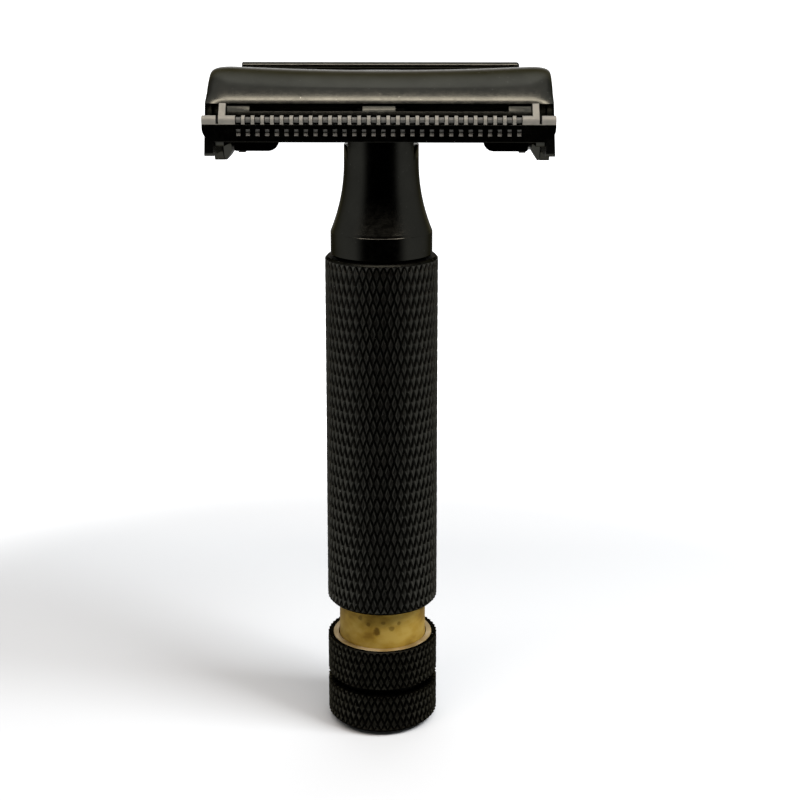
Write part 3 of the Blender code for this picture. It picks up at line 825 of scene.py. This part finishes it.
def prism(name, outline, low, high, finish=None):
    """A flat outline in (Y, height in the head), thick from low to high in X."""
    bm = bmesh.new()
    rings = [[bm.verts.new((x, across, HEAD + up)) for across, up in outline]
             for x in (low, high)]
    for i in range(len(outline)):
        j = (i + 1) % len(outline)
        bm.faces.new((rings[0][i], rings[0][j], rings[1][j], rings[1][i]))
    for ring in rings:
        bm.faces.new(ring)
    return add_piece(name, bm, finish or smooth_coat)


def cap_line(lip):
    """The cap's outer line from the lip over the crown to the back."""
    front = arc((CROWN[0], CROWN[1] - CAP_R), CAP_R, 150.3, 90, 36)
    back = [(CROWN[0] + step, CROWN[1] - step * step / 60)
            for step in [0.7 * i for i in range(1, 13)]]
    return [lip] + front + back + [(6.3, 6.86), (7.1, 6.75), (7.4, 6.72)]


def cap_half(up):
    """Half the cap's width at a height: the ears lean out below the lip."""
    return 20.38 + max(0.0, LIP[1] - up) * 0.05


def cap_sag(x, up):
    """How far the crown dips under the thumb rail at a place along X."""
    return SAG * max(0.0, 1 - (x / SAG_HALF) ** 2) * min(max((up - 6) / 2.1, 0.0), 1.0)


def cap_loft():
    ears = rounded([(8.8, 6.7, 0.25), (8.8, 2.2, 1.0), (8.4, -1.6, 2.0), (6.6, -3.75, 1.4),
                    (1.9, -3.75, 1.4), (0.3, -2.3, 1.6), (-7.9, -2.05, 0.5), (*LIP, 0)])
    outline = cap_line(LIP) + ears[:-1]
    bm = bmesh.new()
    stations = []
    for part in (0.0, 0.2, 0.38, 0.53, 0.65, 0.75, 0.83, 0.89, 0.94, 0.975, 0.994, 1.0):
        drop = END_HIGH * (1 - (1 - part ** END_POWER) ** (1 / END_POWER))
        inset = END_WIDE * (1 - part)
        turn = max(0.0, 1 - inset / PLAN_WIDE)
        stations.append((inset, drop, PLAN_DEEP * (1 - math.sqrt(1 - turn * turn))))
    crown = [(END_WIDE + 1.778 * i, 0.0, 0.0) for i in range(1, 20)]
    rings = []
    for side in (1, -1):
        rows = stations[::-1] + crown if side > 0 else stations
        for inset, drop, back in rows:
            ring = []
            for across, up in outline:
                share = min(max((up - LIP[1] - 0.25) / 2.8, 0.0), 1.0)
                reach = cap_half(up - drop * share) - inset
                height = up - drop * share - cap_sag(reach, up)
                forward = min(max((CROWN[0] - across) / (CROWN[0] - LIP[0]), 0.0), 1.0)
                forward *= min(max((up - LIP[1] + 0.2) / 1.6, 0.0), 1.0)
                ring.append(bm.verts.new((side * reach, across + back * forward,
                                          HEAD + height)))
            rings.append(ring)
    for first, second in zip(rings, rings[1:]):
        for i in range(len(outline)):
            j = (i + 1) % len(outline)
            bm.faces.new((first[i], first[j], second[j], second[i]))
    bm.faces.new(rings[0])
    bm.faces.new(rings[-1])
    return add_piece("cap_cover", bm, smooth_coat)


# %% Cap openings
HINGE = (6.5, -0.25)
PIN_HOLE = arc(HINGE, 0.7, 0, 360, 24)[:-1]
YOKE_PIN = (3.5, -2.0)


def slot_outline(start, end, half):
    """A round-ended slot between two centres."""
    lean = math.degrees(math.atan2(end[1] - start[1], end[0] - start[0]))
    return (arc(end, half, lean - 90, lean + 90, 10)
            + arc(start, half, lean + 90, lean + 270, 10))


cap = cap_loft()
inner = offset(cap_line((-8.5, 4.36)), SHEET)
hollow = [(-12, 4.27), (inner[0][0], 4.27)] + inner[2:-2]
hollow += [(8.0, 5.9), (8.0, 1.0), (12, 1.0), (12, -8), (-12, -8)]
boolean(cap, prism("hollow", hollow, -19.6, 19.6))
far = Vector(HINGE) - Vector(YOKE_PIN)
near = Vector(HINGE) - far.normalized() * 2.95
boolean(cap, prism("ear_slot", slot_outline(near, YOKE_PIN, 0.75), -25, 25))
boolean(cap, prism("hinge_hole", PIN_HOLE, -25, 25))
cap.data.shade_smooth()
cap.data.set_sharp_from_angle(angle=math.radians(30))
place_piece(cap, "cap", "black_coat", "cap_shell")

# %% [markdown]
# The guard is pressed from one sheet: a floor, a front wall, and a rolled upper edge.
# Thirty notches in the roll leave the teeth of the comb, each notch has a drain slot
# under it, and a thin core shows between the teeth. A row of equal cuts is a job for
# Geometry Nodes: one tree places the cutters for both rows.

# %% Row-of-cuts tree
def row_tree():
    tree = bpy.data.node_groups.new("row_of_cuts", "GeometryNodeTree")
    for name, kind in (("Count", "Int"), ("Pitch", "Float"), ("Size", "Vector"),
                       ("Middle", "Vector"), ("Lean", "Vector"), ("Finish", "Material")):
        tree.interface.new_socket(name, in_out="INPUT", socket_type="NodeSocket" + kind)
    tree.interface.new_socket("Row", in_out="OUTPUT", socket_type="NodeSocketGeometry")
    given = tree.nodes.new("NodeGroupInput").outputs
    line = tree.nodes.new("GeometryNodeMeshLine")
    step = tree.nodes.new("ShaderNodeCombineXYZ")
    spread = tree.nodes.new("ShaderNodeMath")
    spread.operation = "MULTIPLY"
    gaps = tree.nodes.new("ShaderNodeMath")
    gaps.operation = "MULTIPLY_ADD"
    gaps.inputs[1].default_value, gaps.inputs[2].default_value = -0.5, 0.5
    start = tree.nodes.new("ShaderNodeCombineXYZ")
    shift = tree.nodes.new("ShaderNodeVectorMath")
    cut = tree.nodes.new("GeometryNodeMeshCube")
    place = tree.nodes.new("GeometryNodeInstanceOnPoints")
    real = tree.nodes.new("GeometryNodeRealizeInstances")
    coat = tree.nodes.new("GeometryNodeSetMaterial")
    out = tree.nodes.new("NodeGroupOutput")
    for source, target in (
            (given["Count"], line.inputs["Count"]), (given["Pitch"], step.inputs["X"]),
            (step.outputs[0], line.inputs["Offset"]), (given["Count"], gaps.inputs[0]),
            (gaps.outputs[0], spread.inputs[0]), (given["Pitch"], spread.inputs[1]),
            (spread.outputs[0], start.inputs["X"]), (start.outputs[0], shift.inputs[0]),
            (given["Middle"], shift.inputs[1]),
            (shift.outputs[0], line.inputs["Start Location"]),
            (given["Size"], cut.inputs["Size"]), (line.outputs[0], place.inputs["Points"]),
            (cut.outputs["Mesh"], place.inputs["Instance"]),
            (given["Lean"], place.inputs["Rotation"]),
            (place.outputs[0], real.inputs[0]), (real.outputs[0], coat.inputs[0]),
            (given["Finish"], coat.inputs["Material"]), (coat.outputs[0], out.inputs[0])):
        tree.links.new(source, target)
    return tree


ROW = row_tree()


def row_of_cuts(name, count, pitch, low, high, finish, lean=0.0):
    """A row of equal boxes centred on X = 0; low and high are one box's corners in mm.

    lean turns each box about its own middle, in degrees about X.
    """
    row = bpy.data.objects.new(name, bpy.data.meshes.new(name))
    bpy.context.scene.collection.objects.link(row)
    step = row.modifiers.new("row", "NODES")
    step.node_group = ROW
    values = {"Count": count, "Pitch": pitch * MM,
              "Size": [(b - a) * MM for a, b in zip(low, high)],
              "Middle": [(a + b) / 2 * MM for a, b in zip(low, high)],
              "Lean": (math.radians(lean), 0, 0),
              "Finish": finish}
    for socket in ROW.interface.items_tree:
        if socket.in_out == "INPUT":
            step[socket.identifier] = values[socket.name]
    return plain_mesh(row)


# %% Guard body
GUARD_HALF = 20.5
ROLL = (-10.38, 2.53)
ROLL_R = 0.52
NOTCHES, PITCH = 30, 1.12


def front_prism(name, outline, near, far):
    """A flat outline in (X, height in the head), thick from near to far in Y."""
    bm = bmesh.new()
    rings = [[bm.verts.new((across, y, HEAD + up)) for across, up in outline]
             for y in (near, far)]
    for i in range(len(outline)):
        j = (i + 1) % len(outline)
        bm.faces.new((rings[0][i], rings[0][j], rings[1][j], rings[1][i]))
    for ring in rings:
        bm.faces.new(ring)
    return add_piece(name, bm, smooth_coat)


section = (rounded([(-2.5, 0.0, 0.08), (-2.5, 0.7, 0.08), (-10.1, 0.7, 0.3)])
           + [(-10.1, 2.15)] + arc(ROLL, ROLL_R, -35, 215, 40) + [(-10.8, 2.15)]
           + rounded([(-10.8, 1.0, 0), (-10.8, 0.0, 0.04), (-8.0, 0.0, 0)])[1:-1])
guard = prism("guard_comb", section, -GUARD_HALF, GUARD_HALF, guard_coat)
face = rounded([(-GUARD_HALF, 0.0, 1.6), (GUARD_HALF, 0.0, 1.6), (GUARD_HALF, 3.2, 0.25),
                (-GUARD_HALF, 3.2, 0.25)], 8)
boolean(guard, front_prism("face", face, -12, 0), "INTERSECT")
for side in (-1, 1):
    low, high = sorted((side * 17.9, side * 22))
    boolean(guard, block((low, -8.7, HEAD - 1), (high, 0, HEAD + 1.9)))
    low, high = sorted((side * 18.55, side * 18.85))
    boolean(guard, block((low, -12, HEAD + 2.1), (high, -9.5, HEAD + 4)))
hole = turned("hole", [(4.93, HEAD + 2), (4.93, HEAD - 2), (0, HEAD - 2), (0, HEAD + 2)],
              smooth_coat, closed=False)
boolean(guard, hole)

# %% Notches, slots, core and stops
boolean(guard, row_of_cuts("notches", NOTCHES, PITCH, (-0.355, -12, HEAD + 2.02),
                           (0.355, -10.3, HEAD + 3.6), smooth_coat))
boolean(guard, row_of_cuts("slots", NOTCHES, PITCH, (-0.25, -12, HEAD + 1.06),
                           (0.25, -9.5, HEAD + 1.12), smooth_coat))
boolean(guard, row_of_cuts("sills", NOTCHES, PITCH, (-0.24, -11.07, HEAD + 0.82),
                           (0.24, -10.53, HEAD + 1.36), bare_sill, 45))
core = prism("core", arc((-10.40, 2.52), 0.34, 0, 360, 32)[:-1], -16.9, 16.9, bare_sill)
for edge in (-0.322, 0.322):
    boolean(core, row_of_cuts("core_gaps", NOTCHES, PITCH, (edge - 0.035, -12, HEAD + 2.0),
                              (edge + 0.035, -10.3, HEAD + 3.4), smooth_coat))
boolean(guard, core, "UNION")
stop = rounded([(-10.85, 2.3, 0), (-10.1, 2.0, 0), (-9.95, 3.0, 0.2), (-9.15, 4.2, 0.15),
                (-9.5, 4.42, 0.12), (-10.82, 2.75, 0.3)])
for side in (-1, 1):
    low, high = sorted((side * 17.8, side * 18.55))
    boolean(guard, prism("stop", stop, low, high, guard_coat), "UNION")
guard.data.shade_smooth()
guard.data.set_sharp_from_angle(angle=math.radians(14))
place_piece(guard, "handle", "black_coat", "guard_plate")

# %% [markdown]
# The bed carries the blade. Its front edge is a steep land with a rounded nose below, cut
# away by two windows so that only a thin rail is left in front of them. Its ends fold
# down into walls that hold the hinge pins.

# %% Bed
bed_line = rounded([(-9.12, 2.9, 0.08), (-9.56, 2.95, 0.1), (-9.36, 3.42, 0.03),
                    (-9.32, 3.46, 0), (-8.95, 4.0, 0.12), (7.2, 5.43, 0.05),
                    (7.12, 4.63, 0.05), (-8.7, 3.25, 0.1)], 5)
bed = prism("blade_seat", bed_line, -19.2, 19.2)
wall = rounded([(-7.0, 3.8, 0), (-7.0, -1.0, 0.8), (0.2, -1.3, 1.5), (1.4, -3.7, 1.2),
                (7.0, -3.7, 1.8), (7.9, 0.0, 1.0), (7.6, 2.6, 0.8), (7.2, 5.0, 0)], 8)
upper_end = (YOKE_PIN[0], YOKE_PIN[1] + 3.5)
for side in (-1, 1):
    low, high = sorted((side * 17.7, side * 22))
    boolean(bed, block((low, -12, HEAD), (high, -7.0, HEAD + 6)))
    low, high = sorted((side * 18.5, side * 19.5))
    boolean(bed, prism("end_wall", wall, low, high), "UNION")
    corner = [(side * 18.2, -2.4), (side * 18.45, -2.4), (side * 19.35, -3.8),
              (side * 18.2, -3.8)]
    boolean(bed, front_prism("corner", corner, -12, 12))
    low, high = sorted((side * 1.9, side * 15.1))
    boolean(bed, block((low, -9.36, HEAD + 2), (high, -5.3, HEAD + 6)))
    boolean(bed, block((low, -10.0, HEAD + 3.42), (high, -9.2, HEAD + 6)))
boolean(bed, prism("hinge_hole", PIN_HOLE, -25, 25))
boolean(bed, prism("pin_slot", slot_outline(YOKE_PIN, upper_end, 0.7), -25, 25))
bed.data.shade_smooth()
bed.data.set_sharp_from_angle(angle=math.radians(14))
place_piece(bed, "handle", "black_coat", "blade_bed")

# %% [markdown]
# A round bar along the back of the cap gives the thumb a grip when the cap is lifted. It
# is a rod with softened ends, drawn as a short lathe profile and laid along X.

# %% Back rail
BAR_R, BAR_Y, BAR_Z = 0.5, 8.0, 7.54


def rod_along_x(name, profile, finish, centre, steps=32):
    """Sweep (radius, place along X) points about a line along X."""
    bm = bmesh.new()
    rings = []
    for radius, along in profile:
        count = 1 if radius == 0 else steps
        rings.append([bm.verts.new((along,
                                    centre[0] + radius * math.cos(2 * math.pi * i / steps),
                                    HEAD + centre[1]
                                    + radius * math.sin(2 * math.pi * i / steps)))
                      for i in range(count)])
    for first, second in zip(rings, rings[1:]):
        for i in range(steps):
            j = (i + 1) % steps
            corners = [first[i % len(first)], first[j % len(first)],
                       second[j % len(second)], second[i % len(second)]]
            corners = list(dict.fromkeys(corners))
            bm.faces.new(corners)
    return add_piece(name, bm, finish)


profile = [(0, -17.9), (BAR_R - 0.12, -17.9), (BAR_R - 0.03, -17.86), (BAR_R, -17.75),
           (BAR_R, 16.95)]
profile += [(BAR_R * math.cos(math.radians(a)), 16.95 + 0.35 * math.sin(math.radians(a)))
            for a in (22, 45, 65, 80)] + [(0, 17.3)]
rail = rod_along_x("thumb_rail", profile, smooth_coat, (BAR_Y, BAR_Z))
place_piece(rail, "cap", "black_coat", "cap_back_rail")
